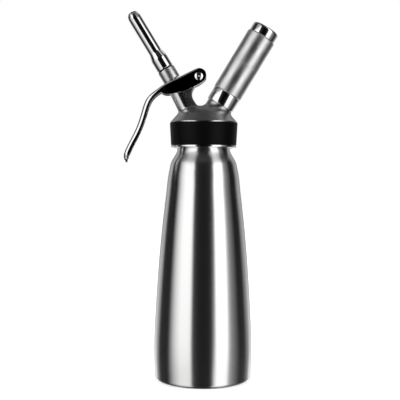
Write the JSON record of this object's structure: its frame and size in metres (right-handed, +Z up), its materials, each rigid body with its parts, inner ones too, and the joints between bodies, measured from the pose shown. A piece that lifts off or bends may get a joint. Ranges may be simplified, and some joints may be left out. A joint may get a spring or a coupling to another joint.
{
  "type": "whipped cream dispenser",
  "caption": "Tall steel bottle under a cast head with a squeeze lever, a slender decorating nozzle leaning one way and a knurled gas-charger holder leaning the other.",
  "frame": {"origin": "centre of the bottle's base, on the plane it stands on", "axes": "+Z up along the bottle; -X towards the lever and nozzle, +X towards the charger holder; the lever's pivot runs along Y"},
  "size_m": [0.1523, 0.0974, 0.3679],
  "materials": {
    "bottle_steel": "drawn stainless steel, brushed round its axis",
    "head_steel": "cast stainless steel, bead-blasted satin",
    "band_plastic": "black moulded band, satin",
    "lever_steel": "stamped stainless steel, mirror polished",
    "polished_steel": "turned stainless steel, mirror polished",
    "satin_steel": "turned stainless steel, satin",
    "knurled_steel": "fine diamond knurl on steel",
    "plain_steel": "turned or drawn steel, plain",
    "brass": "turned brass",
    "black_rubber": "moulded rubber",
    "pale_silicone": "pale moulded silicone"
  },
  "bodies": {
    "bottle": {"bottle": "bottle_steel"},
    "seal_ring": {"head_gasket": "pale_silicone"},
    "head": {"head_body": "head_steel", "grip_band": "band_plastic", "guide_bush": "brass", "valve_spring": "plain_steel", "pin_carrier": "brass", "piercing_pin": "plain_steel", "charger_gasket": "black_rubber", "check_disc": "black_rubber", "inlet_nut": "brass"},
    "lever": {"lever": "lever_steel", "pivot_pin": "polished_steel", "pivot_nut": "polished_steel", "lever_washer_near": "pale_silicone", "lever_washer_far": "pale_silicone"},
    "valve": {"valve_stem": "plain_steel", "valve_seal": "black_rubber", "stem_ring_lower": "black_rubber", "stem_ring_upper": "black_rubber", "press_nut": "plain_steel", "valve_collar": "satin_steel"},
    "nozzle_seal": {"nozzle_seal": "black_rubber"},
    "nozzle": {"nozzle": "polished_steel"},
    "charger": {"gas_charger": "plain_steel", "charger_seal": "brass"},
    "holder": {"charger_holder": "polished_steel", "knurled_grip": "knurled_steel", "holder_cap": "polished_steel"}
  },
  "joints": [
    {"name": "head_lift", "type": "slide", "parent": "bottle", "child": "seal_ring", "axis": [0, 0, 1], "range_m": [0, 0.006]},
    {"name": "head_turn", "type": "hinge", "parent": "seal_ring", "child": "head", "pos_m": [0, 0, 0.248], "axis": [0, 0, 1], "range_deg": [0, 550]},
    {"name": "lever_press", "type": "hinge", "parent": "head", "child": "lever", "pos_m": [-0.00507, 0, 0.30259], "axis": [0, -1, 0], "range_deg": [0, 10], "stiffness_Nm_per_rad": 2, "springref_deg": -20.05},
    {"name": "valve_slide", "type": "slide", "parent": "head", "child": "valve", "axis": [0.5225, 0, -0.8526], "range_m": [0, 0.0042], "deforming": ["valve_spring"]},
    {"name": "nozzle_lift", "type": "slide", "parent": "valve", "child": "nozzle_seal", "axis": [-0.5225, 0, 0.8526], "range_m": [0, 0.005]},
    {"name": "nozzle_turn", "type": "hinge", "parent": "nozzle_seal", "child": "nozzle", "pos_m": [0, 0, 0.248], "axis": [-0.5225, 0, 0.8526], "range_deg": [0, 1460]},
    {"name": "charger_lift", "type": "slide", "parent": "head", "child": "charger", "axis": [0.515, 0, 0.8572], "range_m": [0, 0.006]},
    {"name": "holder_turn", "type": "hinge", "parent": "charger", "child": "holder", "pos_m": [0, 0, 0.248], "axis": [0.515, 0, 0.8572], "range_deg": [0, 1460]}
  ],
  "couplings": [
    {"joint": "head_turn", "follows": "head_lift", "rad_per_m": 1570.8},
    {"joint": "valve_slide", "follows": "lever_press", "m_per_rad": 0.024},
    {"joint": "nozzle_turn", "follows": "nozzle_lift", "rad_per_m": 5026.5},
    {"joint": "holder_turn", "follows": "charger_lift", "rad_per_m": 4188.8}
  ]
}
